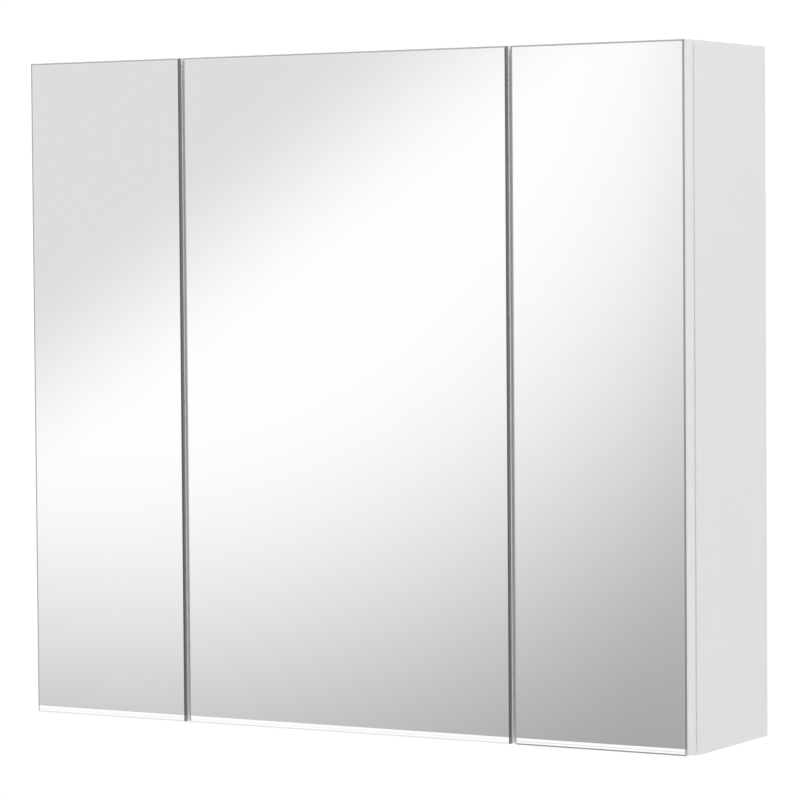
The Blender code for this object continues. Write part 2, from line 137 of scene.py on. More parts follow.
class Finish:
    """A material with its Principled shader and the nodes that feed it."""

    def __init__(self, name, constants):
        self.material = bpy.data.materials.new(name)
        self.material.use_nodes = True
        self.tree = self.material.node_tree
        self.shader = self.tree.nodes["Principled BSDF"]
        for key, value in constants.items():
            self.shader.inputs[key].default_value = value

    def feed(self, socket, value):
        if isinstance(value, Wire):
            self.tree.links.new(value.socket, socket)
        else:
            socket.default_value = value

    def node(self, kind, settings, sockets, output=0):
        """Adds a node: its settings first, then its sockets, by name or by number."""
        node = self.tree.nodes.new(kind)
        for key, value in settings.items():
            setattr(node, key, value)
        for key, value in sockets.items():
            self.feed(node.inputs[key], value)
        return Wire(self, node.outputs[output])

    def sum(self, operation, *values):
        sockets = dict(enumerate(values))
        return self.node("ShaderNodeMath", {"operation": operation}, sockets)

    def point(self):
        return self.node("ShaderNodeTexCoord", {}, {}, "Object")

    def axes(self, point, letters="XYZ"):
        return [self.node("ShaderNodeSeparateXYZ", {}, {0: point}, letter) for letter in letters]

    def stretched(self, point, scale, turn=(0.0, 0.0, 0.0)):
        return self.node("ShaderNodeMapping", {}, {"Vector": point, "Scale": scale, "Rotation": turn})

    def noise(self, point, scale, detail=2.0, roughness=0.5):
        sockets = {"Vector": point, "Scale": scale, "Detail": detail, "Roughness": roughness}
        return self.node("ShaderNodeTexNoise", {}, sockets, "Fac")

    def blend(self, mask, first, second):
        sockets = {"Factor": mask, 6: (*first, 1.0) if isinstance(first, tuple) else first}
        sockets[7] = (*second, 1.0) if isinstance(second, tuple) else second
        return self.node("ShaderNodeMix", {"data_type": "RGBA"}, sockets, 2)

    def bump(self, height, depth):
        """A Bump node whose height of 1 stands for depth in metres."""
        sockets = {"Height": height, "Strength": 1.0, "Distance": depth}
        self.set("Normal", self.node("ShaderNodeBump", {}, sockets))

    def set(self, name, value):
        self.feed(self.shader.inputs[name], value)


def dress(node, finish):
    """Gives a CAD solid its finish, in a single slot that takes the place of the ones it had."""
    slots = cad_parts[node].data.materials
    slots.clear()
    slots.append(finish.material)


# %% [markdown]
# ## White melamine board
#
# The case and the doors are chipboard with a white melamine face. Up close the face isn't smooth: it
# was pressed against a textured steel plate, and keeps a shallow pearl of bumps under a millimetre
# wide. The cut edges are hidden by a strip of plastic edging a millimetre thick, glued on by machine,
# and where the edging ends a hairline shows. A mask that measures the distance to the edge draws
# that line, so it sits at the same depth on every board.

# %% Melamine with its edging
EDGING = 1.0 * MM
HAIRLINE = 0.18 * MM
PEARL_DEPTH = 0.03 * MM


def melamine(name, edge_distance):
    """White board; edge_distance turns (x, y, z) wires into the distance from the edged side."""
    board = Finish(name, {"IOR": 1.5})
    point = board.point()
    pearl = board.noise(point, 1500.0, detail=2.0)
    ripple = board.noise(point, 260.0, detail=1.0)
    cloud = board.noise(point, 9.0, detail=3.0)
    distance = edge_distance(*board.axes(point))
    line = (1.0 - abs(distance - EDGING) / HAIRLINE).clamped()
    on_edging = ((EDGING - distance) / HAIRLINE).clamped()
    face = board.blend(cloud, (0.838, 0.84, 0.838), (0.858, 0.86, 0.857))
    face = board.blend(on_edging * 0.6, face, (0.87, 0.87, 0.865))
    board.set("Base Color", board.blend(line * 0.8, face, (0.5, 0.49, 0.47)))
    board.set("Roughness", 0.36 + pearl * 0.1 - on_edging * 0.06)
    board.bump(pearl * 0.7 + ripple * 0.3 - line * 0.8, PEARL_DEPTH)
    return board


def from_case_front(x, y, z):
    return y - case_front


def from_nearest_side(node):
    """Distance from the nearest of a door's four edges."""
    low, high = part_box(node)

    def distance(x, y, z):
        across = (x - low.x).at_most(high.x - x)
        return across.at_most((z - low.z).at_most(high.z - z))

    return distance


case_board = melamine("melamine_case", from_case_front)
for panel in PANELS:
    dress(panel, case_board)
for door in DOORS:
    dress(f"door_{door}", melamine(f"melamine_door_{door}", from_nearest_side(f"door_{door}")))
print("dressed", len(PANELS), "panels and", len(DOORS), "door boards in melamine")


# %% [markdown]
# ## Mirror with a polished arris
#
# Each door carries a sheet of silvered glass. From the front it is almost a perfect reflector, with a
# trace of green from the glass it is seen through. Along its sides and top a narrow bevel, the arris,
# is ground and polished. No silver lies behind it, so it looks darker than the mirror. Its tones are
# painted shade and painted reflection, set side by side: darkest where another door is next to it,
# lighter at the outside, and dark again along the top, where it catches the key panel. The rim behind
# the bevel gets painted shade beside a gap and a light painted reflection at the outside. The mask is
# how far a point lies past the flat front, so that only the bevel and the rim change.

# %% Silvered glass
ARRIS_WIDTH = 2.0 * MM
ARRIS_DEPTH = 0.8 * MM
MASK_FADE = 0.1 * MM
RIM_FADE = 0.05 * MM
# Painted shade for the bevel and painted shade or painted reflection for the rim, by what each side
# faces.
BEVEL_SHADE_IN_GAP = (0.15, 0.155, 0.152)
BEVEL_SHADE_IN_OPEN = (0.33, 0.34, 0.335)
BEVEL_SHADE_ALONG_TOP = (0.17, 0.175, 0.172)
RIM_SHADE_IN_GAP = (0.28, 0.3, 0.29)
RIM_REFLECTION_IN_OPEN = (0.8, 0.84, 0.825)


def past_bevel(y, low):
    """1 on the rim, which lies behind the bevel; low is the sheet's lowest corner."""
    return ((y - low.y - ARRIS_DEPTH * 0.97) / RIM_FADE).clamped()


# The rim's paint: painted shade beside a gap, a light painted reflection at the outside.
def painted_rim_beside(right_bevel_shade):
    return RIM_SHADE_IN_GAP if right_bevel_shade == BEVEL_SHADE_IN_GAP else RIM_REFLECTION_IN_OPEN


def silvered(name, node, right_bevel_shade):
    """Mirror glass; the last argument is the painted shade of the bevel along its right side."""
    low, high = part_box(node)
    middle = (low + high) / 2
    half = (high - low) / 2
    glass = Finish(name, {"IOR": 1.52})
    point = glass.point()
    x, y, z = glass.axes(point)
    past_side = abs(x - middle.x) - (half.x - ARRIS_WIDTH)
    past_top = z - (high.z - ARRIS_WIDTH)
    bevel = (past_side.at_least(past_top) / MASK_FADE).clamped()
    on_right = ((x - (high.x - ARRIS_WIDTH)) / MASK_FADE).clamped()
    on_top = (past_top / MASK_FADE).clamped()
    rim = past_bevel(y, low)
    wipe = glass.noise(glass.stretched(point, (5.0, 5.0, 2.0), (0.0, 0.5, 0.0)), 3.0, detail=4.0)
    dust = glass.noise(point, 700.0, detail=1.0)
    silver = glass.blend(wipe, (0.93, 0.936, 0.934), (0.938, 0.943, 0.941))
    # The bevel's painted shade: the right side's own tone, and darker painted shade along the top.
    tone = glass.blend(on_right, BEVEL_SHADE_IN_OPEN, right_bevel_shade)
    tone = glass.blend(on_top, tone, BEVEL_SHADE_ALONG_TOP)
    rim_light_and_shade = glass.blend(on_right, RIM_REFLECTION_IN_OPEN, painted_rim_beside(right_bevel_shade))
    edge = glass.blend(rim, tone, rim_light_and_shade)
    glass.set("Base Color", glass.blend(bevel, silver, edge))
    glass.set("Metallic", 1.0 - bevel * 0.1 - rim * 0.85)
    glass.set("Roughness", 0.012 + wipe * 0.012 + bevel * 0.1 + rim * 0.15)
    glass.bump(dust, 0.0005 * MM)
    return glass


# Only the right door's right side is open; the other doors get the gap's painted shade there.
for door in DOORS:
    right_bevel_shade = BEVEL_SHADE_IN_OPEN if door == "right" else BEVEL_SHADE_IN_GAP
    dress(f"mirror_{door}", silvered(f"silvered_glass_{door}", f"mirror_{door}", right_bevel_shade))
print("silvered", len(DOORS), "mirrors")


# %% [markdown]
# ## White strips
#
# Under each mirror runs a slim white extrusion that carries its lower edge. A plastic extrusion keeps
# very fine lines along its length from the die, so its bump is noise stretched along X. Its bevelled
# ends continue the lines of the glass above, in the same painted shade and painted reflection. The lip
# along its lower edge gets painted shade, a touch darker than the rest, and on the right door darker
# still, a clear grey line. The groove halfway up gets painted shade too, a third of the lip's.

# %% Extruded plastic
# Painted shade along the lower lip and in the groove: faint on the left and centre doors, dark on the
# right.
LIP = 1.5 * MM
LIP_SHADE_FAINT = (0.72, 0.72, 0.715)
LIP_SHADE_DARK = (0.26, 0.26, 0.255)
GROOVE_UP = 3.8 * MM
GROOVE_HALF = 0.5 * MM
GROOVE_SHADE_SHARE = 0.35


def extruded_white(name, node, right_bevel_shade, lip_shade):
    low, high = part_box(node)
    strip = Finish(name, {"IOR": 1.46})
    point = strip.point()
    x, y, z = strip.axes(point)
    lines = strip.noise(strip.stretched(point, (6.0, 1500.0, 1500.0)), 1.0, detail=3.0)
    shade = strip.noise(point, 20.0, detail=2.0)
    on_left = ((low.x + ARRIS_WIDTH - x) / MASK_FADE).clamped()
    on_right = ((x - (high.x - ARRIS_WIDTH)) / MASK_FADE).clamped()
    lip_shade_mask = ((low.z + LIP - z) / MASK_FADE).clamped()
    white = strip.blend(shade, (0.9, 0.9, 0.895), (0.925, 0.925, 0.92))
    groove_shade_mask = (1.0 - abs(z - (low.z + GROOVE_UP)) / GROOVE_HALF).clamped()
    # Painted shade along the lip and, at a third of its strength, along the groove.
    body = strip.blend(lip_shade_mask.at_least(groove_shade_mask * GROOVE_SHADE_SHARE), white, lip_shade)
    rim = past_bevel(y, low)
    # The ends carry the same painted shade and painted reflection as the mirror's bevel and rim.
    painted_left_end = strip.blend(rim, BEVEL_SHADE_IN_OPEN, RIM_REFLECTION_IN_OPEN)
    painted_right_end = strip.blend(rim, right_bevel_shade, painted_rim_beside(right_bevel_shade))
    strip.set("Base Color", strip.blend(on_right, strip.blend(on_left, body, painted_left_end), painted_right_end))
    strip.set("Roughness", 0.24 + lines * 0.14)
    strip.bump(lines, 0.008 * MM)
    return strip


for door in DOORS:
    outside = door == "right"
    right_bevel_shade = BEVEL_SHADE_IN_OPEN if outside else BEVEL_SHADE_IN_GAP
    # The right door's strip gets the darker painted shade along its lip.
    lip_shade = LIP_SHADE_DARK if outside else LIP_SHADE_FAINT
    finish = extruded_white(f"white_extrusion_{door}", f"strip_{door}", right_bevel_shade, lip_shade)
    dress(f"strip_{door}", finish)
print("dressed", len(DOORS), "strips")


# %% [markdown]
# ## Nickel and zinc
#
# The hinges are pressed from nickel-plated steel: warm, bright, with rolling lines and slight
# tumbling marks. The rail and the hooks are zinc-plated, which is cooler, duller and clouded into
# soft grains. Both are metals, so the difference is all in colour and roughness.

# %% Plated steel
def nickel_plate():
    nickel = Finish("nickel_plate", {"Metallic": 1.0})
    point = nickel.point()
    rolled = nickel.noise(nickel.stretched(point, (900.0, 60.0, 900.0)), 1.0, detail=3.0)
    tumbled = nickel.noise(point, 420.0, detail=4.0, roughness=0.65)
    nickel.set("Base Color", nickel.blend(tumbled, (0.66, 0.645, 0.61), (0.74, 0.73, 0.7)))
    nickel.set("Roughness", 0.2 + rolled * 0.12 + tumbled * 0.08)
    nickel.bump(rolled * 0.6 + tumbled * 0.4, 0.01 * MM)
    return nickel


def zinc_plate():
    zinc = Finish("zinc_plate", {"Metallic": 1.0})
    point = zinc.point()
    grains = zinc.node("ShaderNodeTexVoronoi", {}, {"Vector": point, "Scale": 160.0}, "Color")
    grain = zinc.node("ShaderNodeSeparateColor", {}, {0: grains}, 0)
    cloud = zinc.noise(point, 35.0, detail=4.0)
    tone = (grain * 0.5 + cloud * 0.5).clamped()
    zinc.set("Base Color", zinc.blend(tone, (0.5, 0.53, 0.56), (0.66, 0.68, 0.7)))
    zinc.set("Roughness", 0.34 + grain * 0.14 + cloud * 0.06)
    zinc.bump(zinc.noise(point, 800.0, detail=2.0), 0.012 * MM)
    return zinc


nickel = nickel_plate()
zinc = zinc_plate()
for door in DOORS:
    for kind in ("plate", "arm", "link", "cup"):
        for number in (1, 2):
            dress(f"hinge_{kind}_{door}_{number}", nickel)
dress("wall_rail", zinc)
for side in SIDES:
    dress(f"hanger_hook_{side}", zinc)
print("plated", len(DOORS) * 8, "hinge parts")


# %% [markdown]
# ## Back sheet
#
# The back is a thin fibreboard sheet. Its room side is painted white with a light roller texture, and
# its wall side is left raw: brown, with matted fibres. Both sides belong to one solid, so the finish
# changes with Y, halfway through the sheet.

# %% Painted and raw fibreboard
def fibreboard():
    low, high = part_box("back_panel")
    sheet = Finish("fibreboard", {"IOR": 1.45})
    point = sheet.point()
    y = sheet.axes(point, "Y")[0]
    raw = ((y - (low.y + high.y) / 2) / (0.2 * MM)).clamped()
    fibre = sheet.noise(sheet.stretched(point, (420.0, 420.0, 900.0)), 1.0, detail=6.0, roughness=0.7)
    matted = sheet.noise(point, 60.0, detail=6.0, roughness=0.7)
    roller = sheet.noise(point, 900.0, detail=2.0)
    brown = sheet.blend((fibre * 0.6 + matted * 0.5).clamped(), (0.16, 0.095, 0.05), (0.36, 0.235, 0.135))
    white = sheet.blend(matted, (0.77, 0.77, 0.755), (0.81, 0.81, 0.795))
    sheet.set("Base Color", sheet.blend(raw, white, brown))
    sheet.set("Roughness", 0.5 + raw * 0.25 + roller * 0.08)
    sheet.bump(roller + raw * fibre * 2.0, 0.03 * MM)
    return sheet


dress("back_panel", fibreboard())


# %% [markdown]
# ## Glass shelves
#
# Clear float glass looks colourless through its thickness and green along its edge, where light has
# travelled the whole depth of the shelf. A real ray tracer would need very green glass to show this
# on a 5 mm sheet, so the edges get the colour directly, by their distance from the rim.

# %% Float glass
def float_glass(name, node):
    low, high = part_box(node)
    middle = (low + high) / 2
    half = (high - low) / 2
    glass = Finish(name, {"IOR": 1.52, "Transmission Weight": 1.0})
    point = glass.point()
    x, y = glass.axes(point, "XY")
    past_x = abs(x - middle.x) - half.x
    past_y = abs(y - middle.y) - half.y
    rim = (1.0 + past_x.at_least(past_y) / (0.8 * MM)).clamped()
    ground = glass.noise(glass.stretched(point, (500.0, 500.0, 1200.0)), 1.0, detail=3.0)
    wipe = glass.noise(point, 8.0, detail=4.0)
    edge = glass.blend(ground, (0.42, 0.72, 0.62), (0.56, 0.83, 0.73))
    glass.set("Base Color", glass.blend(rim, (0.975, 0.99, 0.985), edge))
    glass.set("Roughness", 0.004 + wipe * 0.012 + rim * 0.16)
    glass.bump(ground * rim, 0.01 * MM)
    return glass


shelves = sorted(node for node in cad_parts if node.startswith("shelf_"))
for shelf in shelves:
    dress(shelf, float_glass(f"float_glass_{shelf}", shelf))
print("glazed", len(shelves), "shelves")


# %% [markdown]
# ## Moulded plastic
#
# The hanger blocks, cover caps and door buffers are injection moulded. The white parts carry the fine
# spark-eroded grain of the mould; the buffers are clear soft plastic, with a milky body.

# %% Moulded finishes
def moulded_white():
    plastic = Finish("moulded_white", {"IOR": 1.46})
    point = plastic.point()
    grain = plastic.noise(point, 1100.0, detail=3.0)
    tone = plastic.noise(point, 30.0, detail=2.0)
    plastic.set("Base Color", plastic.blend(tone, (0.83, 0.83, 0.82), (0.87, 0.87, 0.86)))
    plastic.set("Roughness", 0.34 + grain * 0.14)
    plastic.bump(grain, 0.02 * MM)
    return plastic


def milky_plastic():
    plastic = Finish("milky_plastic", {"IOR": 1.45, "Transmission Weight": 0.7})
    point = plastic.point()
    grain = plastic.noise(point, 900.0, detail=2.0)
    plastic.set("Base Color", plastic.blend(grain, (0.82, 0.83, 0.82), (0.9, 0.91, 0.9)))
    plastic.set("Roughness", 0.28 + grain * 0.15)
    return plastic


moulded = moulded_white()
milky = milky_plastic()
for side in SIDES:
    dress(f"hanger_block_{side}", moulded)


# %% [markdown]
# ## Modelling the small fittings
#
# Each kind of fitting is modelled once at the origin, standing on z = 0 and pointing up, and is then
# copied to its places. A copy gets its own mesh, turned and moved as data, so that every finished
# object sits at the origin with its place in its mesh. The cells below share four helpers: one that
# starts a piece from a primitive, one that bevels the edges that satisfy a test, one that carves one
# piece with another, and one that sets copies.

# %% Helpers for modelling
SHARP_ANGLE = math.radians(35)
FACING_UP = 0.9


def fresh(primitive, name, **sizes):
    """Adds one primitive with nothing else selected."""
    bpy.ops.object.select_all(action="DESELECT")
    primitive(**sizes)
    piece = bpy.context.object
    piece.name = name
    return piece


def bake_place(piece):
    bpy.ops.object.select_all(action="DESELECT")
    piece.select_set(True)
    bpy.context.view_layer.objects.active = piece
    bpy.ops.object.transform_apply(location=True, rotation=True, scale=True)


def pick_faces(piece, test):
    """Goes into edit mode with only the faces selected whose centre and normal pass the test."""
    bpy.context.view_layer.objects.active = piece
    bpy.ops.object.mode_set(mode="EDIT")
    bpy.ops.mesh.select_mode(type="FACE")
    bpy.ops.mesh.select_all(action="DESELECT")
    bpy.ops.object.mode_set(mode="OBJECT")
    for face in piece.data.polygons:
        face.select = test(face.center, face.normal)
    bpy.ops.object.mode_set(mode="EDIT")


def carve(piece, cutter):
    """Cuts the cutter's shape out of the piece, and throws the cutter away."""
    bake_place(cutter)
    modifier = piece.modifiers.new("carve", "BOOLEAN")
    modifier.operation = "DIFFERENCE"
    modifier.solver = "EXACT"
    modifier.object = cutter
    bpy.context.view_layer.objects.active = piece
    bpy.ops.object.modifier_apply(modifier=modifier.name)
    bpy.data.objects.remove(cutter)


def soften(piece, width, segments=2):
    modifier = piece.modifiers.new("soften", "BEVEL")
    modifier.width = width
    modifier.segments = segments
    modifier.limit_method = "ANGLE"
    modifier.angle_limit = SHARP_ANGLE
    bpy.context.view_layer.objects.active = piece
    bpy.ops.object.modifier_apply(modifier=modifier.name)


def round_shade(piece):
    bpy.ops.object.select_all(action="DESELECT")
    piece.select_set(True)
    bpy.context.view_layer.objects.active = piece
    bpy.ops.object.shade_smooth_by_angle(angle=SHARP_ANGLE)


def set_copy(master, name, spot, out, body, finish, spin=0.0):
    """Copies a fitting so that its foot is on spot and it points along out."""
    copy = bpy.data.objects.new(name, master.data.copy())
    bpy.context.scene.collection.objects.link(copy)
    turn = Vector(out).to_track_quat("Z", "Y").to_matrix().to_4x4()
    copy.data.transform(Matrix.Translation(spot) @ turn @ Matrix.Rotation(spin, 4, "Z"))
    copy.data.materials.clear()
    copy.data.materials.append(finish.material)
    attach(copy, body)
    return copy


# %% [markdown]
# ### Screws with a cross recess
#
# A furniture screw has a low domed head with a cross recess. The head starts as a cylinder, whose top
# face is inset and pushed up twice to round it. Two crossed bars are then carved out of it.

# %% Model the screw head
def screw_head(name, radius, height):
    head = fresh(
        bpy.ops.mesh.primitive_cylinder_add,
        name,
        vertices=32,
        radius=radius,
        depth=height * 0.5,
        location=(0, 0, height * 0.25),
    )
    bake_place(head)
    for thickness, rise in ((radius * 0.16, height * 0.3), (radius * 0.3, height * 0.2)):
        pick_faces(head, lambda centre, normal: normal.z > FACING_UP)
        bpy.ops.mesh.inset(thickness=thickness, depth=0.0)
        bpy.ops.transform.translate(value=(0, 0, rise))
        bpy.ops.object.mode_set(mode="OBJECT")
    for quarter in (0, 1):
        bar = fresh(
            bpy.ops.mesh.primitive_cube_add,
            "cross_bar",
            size=1.0,
            location=(0, 0, height),
            rotation=(0, 0, math.pi / 2 * quarter),
            scale=(radius * 1.15, radius * 0.24, height * 1.1),
        )
        carve(head, bar)
    round_shade(head)
    return head


large_screw = screw_head("large_screw", radius=3.4 * MM, height=1.5 * MM)
small_screw = screw_head("small_screw", radius=2.9 * MM, height=1.0 * MM)
print("screw head has", len(large_screw.data.polygons), "faces")


# %% [markdown]
# ### Where the hinges are
#
# Each hinge sits in its own solids, so its screws take their places from them: the plate's wings, the
# arm's top and the cup's ears. `away` is the way from the panel into the compartment.

# %% Set the hinge screws
PLATE_SCREW_UP = 16.0 * MM
PLATE_SCREW_BACK = 37.0 * MM
WING_THICKNESS = 2.2 * MM
EAR_SCREW_UP = 22.5 * MM
EAR_SCREW_IN = 32.0 * MM
HINGE_SIDE_INSET = 1.0 * MM
EAR_OUT = 0.95 * MM
ARM_SCREW_BACK = {"fixing": 50.0 * MM, "reach": 28.0 * MM}

for door, side in DOORS.items():
    away = -side
    door_low, door_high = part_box(f"door_{door}")
    datum = (door_low.x if side < 0 else door_high.x) + side * HINGE_SIDE_INSET
    for number in (1, 2):
        tag = f"{door}_{number}"
        plate_low, plate_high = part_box(f"hinge_plate_{tag}")
        arm_low, arm_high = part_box(f"hinge_arm_{tag}")
        level = (plate_low.z + plate_high.z) / 2
        foot = plate_low.x if away > 0 else plate_high.x
        web = arm_high.x if away > 0 else arm_low.x
        for word, sign in (("low", -1), ("high", 1)):
            up = level + sign * PLATE_SCREW_UP
            spot = Vector((foot + away * WING_THICKNESS, case_front + PLATE_SCREW_BACK, up))
            name = f"plate_screw_{tag}_{word}"
            set_copy(large_screw, name, spot, (away, 0, 0), "case", nickel, spin=0.4 * sign)
            up = level + sign * EAR_SCREW_UP
            spot = Vector((datum + away * EAR_SCREW_IN, case_front - EAR_OUT, up))
            name = f"cup_screw_{tag}_{word}"
            body = f"{door}_door"
            set_copy(small_screw, name, spot, (0, 1, 0), body, nickel, spin=0.7 + 0.3 * sign)
        for word, back in ARM_SCREW_BACK.items():
            spot = Vector((web, case_front + back, level))
            name = f"arm_screw_{tag}_{word}"
            spin = back * 9.0 / MM
            set_copy(large_screw, name, spot, (away, 0, 0), "case", nickel, spin=spin)


# %% [markdown]
# ### Rivet heads on the hinge pins
#
# The pin that the link turns on is riveted over at both ends. Half a squashed sphere makes the small
# dome that shows on each cheek of the arm.

# %% Rivets
PIN_BACK = 10.2 * MM
PIN_IN = 31.3 * MM
RIVET_RADIUS = 2.2 * MM
RIVET_SQUASH = 0.4


def rivet_head():
    dome = fresh(
        bpy.ops.mesh.primitive_uv_sphere_add,
        "rivet_head",
        segments=24,
        ring_count=12,
        radius=RIVET_RADIUS,
        scale=(1.0, 1.0, RIVET_SQUASH),
    )
    bake_place(dome)
    bpy.ops.object.mode_set(mode="EDIT")
    bpy.ops.mesh.select_all(action="SELECT")
    bpy.ops.mesh.bisect(plane_co=(0, 0, 0.05 * MM), plane_no=(0, 0, 1), use_fill=True, clear_inner=True)
    bpy.ops.object.mode_set(mode="OBJECT")
    round_shade(dome)
    return dome


rivet = rivet_head()
for door, side in DOORS.items():
    door_low, door_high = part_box(f"door_{door}")
    datum = (door_low.x if side < 0 else door_high.x) + side * HINGE_SIDE_INSET
    for number in (1, 2):
        arm_low, arm_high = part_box(f"hinge_arm_{door}_{number}")
        for word, up, z in (("low", -1, arm_low.z), ("high", 1, arm_high.z)):
            spot = Vector((datum - side * PIN_IN, case_front + PIN_BACK, z))
            set_copy(rivet, f"rivet_{door}_{number}_{word}", spot, (0, 0, up), "case", nickel)


# %% [markdown]
# ### Shelf pins
#
# A glass shelf lies on four pins. Each has a round collar against the panel and a half-round spoon
# under the glass. The spoon is a cylinder cut flat along its top by a bisect.

# %% Shelf pins
COLLAR = 0.7 * MM
COLLAR_RADIUS = 4.2 * MM
COLLAR_DROP = 0.6 * MM
SPOON_RADIUS = 3.2 * MM
SPOON_REACH = 8.0 * MM
PIN_FROM_EDGE = 22.0 * MM


def shelf_pin():
    spoon = fresh(
        bpy.ops.mesh.primitive_cylinder_add,
        "shelf_pin",
        vertices=32,
        radius=SPOON_RADIUS,
        depth=SPOON_REACH,
        location=(0, 0, SPOON_REACH / 2),
    )
    bake_place(spoon)
    bpy.ops.object.mode_set(mode="EDIT")
    bpy.ops.mesh.select_all(action="SELECT")
    bpy.ops.mesh.bisect(plane_co=(0, 0, 0), plane_no=(0, 1, 0), use_fill=True, clear_outer=True)
    bpy.ops.object.mode_set(mode="OBJECT")
    soften(spoon, width=0.35 * MM)
    collar = fresh(
        bpy.ops.mesh.primitive_cylinder_add,
        "collar",
        vertices=32,
        radius=COLLAR_RADIUS,
        depth=COLLAR,
        location=(0, -COLLAR_DROP, COLLAR / 2),
    )
    bake_place(collar)
    soften(collar, width=0.2 * MM)
    bpy.ops.object.select_all(action="DESELECT")
    collar.select_set(True)
    spoon.select_set(True)
    bpy.context.view_layer.objects.active = spoon
    bpy.ops.object.join()
    round_shade(spoon)
    return spoon


pin = shelf_pin()
PIN_BELOW_GLASS = 0.1 * MM
SHELF_END_PLAY = 1.0 * MM
for shelf in shelves:
    low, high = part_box(shelf)
    for end, away, x in (("near", 1, low.x - SHELF_END_PLAY), ("far", -1, high.x + SHELF_END_PLAY)):
        for row, y in (("front", low.y + PIN_FROM_EDGE), ("back", high.y - PIN_FROM_EDGE)):
            spot = Vector((x, y, low.z - PIN_BELOW_GLASS))
            name = f"pin_{shelf}_{end}_{row}"
            set_copy(pin, name, spot, (away, 0, 0), "case", nickel)


# %% [markdown]
# ### Cover caps, door buffers and hanger screws
#
# The cams that draw the case together are hidden under white caps, thin discs with a rounded edge.
# Soft buffers on the back of each door, at its free side, keep it from slamming. Each hanger block
# has two screws that lift and tighten the cabinet on its rail.

# %% Caps and buffers
def disc(name, radius, height, rounding):
    plate = fresh(
        bpy.ops.mesh.primitive_cylinder_add,
        name,
        vertices=40,
        radius=radius,
        depth=height,
        location=(0, 0, height / 2),
    )
    bake_place(plate)
    pick_faces(plate, lambda centre, normal: normal.z > FACING_UP)
    bpy.ops.mesh.inset(thickness=radius * 0.25, depth=0.0)
    bpy.ops.transform.translate(value=(0, 0, height * 0.15))
    bpy.ops.object.mode_set(mode="OBJECT")
    soften(plate, rounding)
    round_shade(plate)
    return plate


CAP_FROM_SIDE = 34.0 * MM
CAP_ROWS = {"front": 0.78, "back": 0.34}
cap = disc("cover_cap", radius=8.5 * MM, height=0.9 * MM, rounding=0.3 * MM)
board_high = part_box("bottom_panel")[1]
floor_z = board_high.z
ceiling_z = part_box("top_panel")[0].z
for word, side in SIDES.items():
    x = side * (board_high.x - CAP_FROM_SIDE)
    for row, share in CAP_ROWS.items():
        y = case_front * share
        spot = Vector((x, y, floor_z))
        set_copy(cap, f"cap_floor_{word}_{row}", spot, (0, 0, 1), "case", moulded)
        spot = Vector((x, y, ceiling_z))
        set_copy(cap, f"cap_ceiling_{word}_{row}", spot, (0, 0, -1), "case", moulded)

buffer_dot = disc("buffer_dot", radius=4.0 * MM, height=1.4 * MM, rounding=0.5 * MM)
BUFFER_FROM_EDGE = 5.0 * MM
BUFFER_FROM_END = 30.0 * MM
for door, side in DOORS.items():
    low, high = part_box(f"door_{door}")
    x = low.x + BUFFER_FROM_EDGE if side > 0 else high.x - BUFFER_FROM_EDGE
    for row, z in (("low", low.z + BUFFER_FROM_END), ("high", high.z - BUFFER_FROM_END)):
        spot = Vector((x, door_back, z))
        name = f"buffer_{door}_{row}"
        set_copy(buffer_dot, name, spot, (0, 1, 0), f"{door}_door", milky)


# %% Screws of the hangers and the rail
hanger_screw = screw_head("hanger_screw", radius=3.6 * MM, height=1.6 * MM)
wall_screw = screw_head("wall_screw", radius=6.0 * MM, height=3.2 * MM)
HANGER_SCREW_UP = (0.25, 0.5)
for word in SIDES:
    low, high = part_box(f"hanger_block_{word}")
    for number, share in enumerate(HANGER_SCREW_UP, 1):
        spot = Vector(((low.x + high.x) / 2, low.y, low.z + (high.z - low.z) * share))
        name = f"hanger_screw_{word}_{number}"
        set_copy(hanger_screw, name, spot, (0, -1, 0), "case", zinc, spin=0.5 * number)

RAIL_SHEET = 2.0 * MM
RAIL_HOLE_X = (-300.0 * MM, -180.0 * MM, 180.0 * MM, 300.0 * MM)
for number, x in enumerate(RAIL_HOLE_X, 1):
    name = f"rail_screw_{number}"
    spot = Vector((x, -RAIL_SHEET, 0))
    set_copy(wall_screw, name, spot, (0, -1, 0), "case", zinc, spin=0.3 * number)

for master in (large_screw, small_screw, rivet, pin, cap, buffer_dot, hanger_screw, wall_screw):
    bpy.data.objects.remove(master)


# %% [markdown]
# ## The studio
#
# A mirror shows whatever stands in front of it, so a mirrored cabinet is lit by what it faces. A wide
# painted flat stands in front. On its left, where the mirrors look, it glows from a round pool of
# light cut by a slanting shade, like a wall lit by a window; its right half has one soft slanting
# glow, and its borders fade to the white of the room. A second, darker flat keeps the right-hand side
# from washing out, and a third hangs overhead for the top. Everything else is an even white room.

# %% Floor and flats
WALL_HALF = 4.0
WALL_FOOT = -1.6
WALL_TOP = 2.2
WALL_FADE = 0.8
POOL_X = -2.3
POOL_Z = 0.45
POOL_NEAR = 0.95
POOL_FAR = 1.95
POOL_LOSS = 0.62
SHADE_FROM = -1.17
SHADE_TO = -0.78
SHADE_DARK = 0.77
SHADE_GAIN = 0.28
PLAIN_FROM = -1.05
PLAIN_FADE = 0.9


def glowing(name, colour_of):
    """A flat's paint: Emission fed by a ramp; the base stays black so that it adds no light."""
    constants = {"Base Color": (0, 0, 0, 1), "Specular IOR Level": 0.0, "Emission Strength": 1.0}
    paint = Finish(name, constants)
    x, z = paint.axes(paint.point(), "XZ")
    paint.set("Emission Color", colour_of(paint, x, z))
    return paint


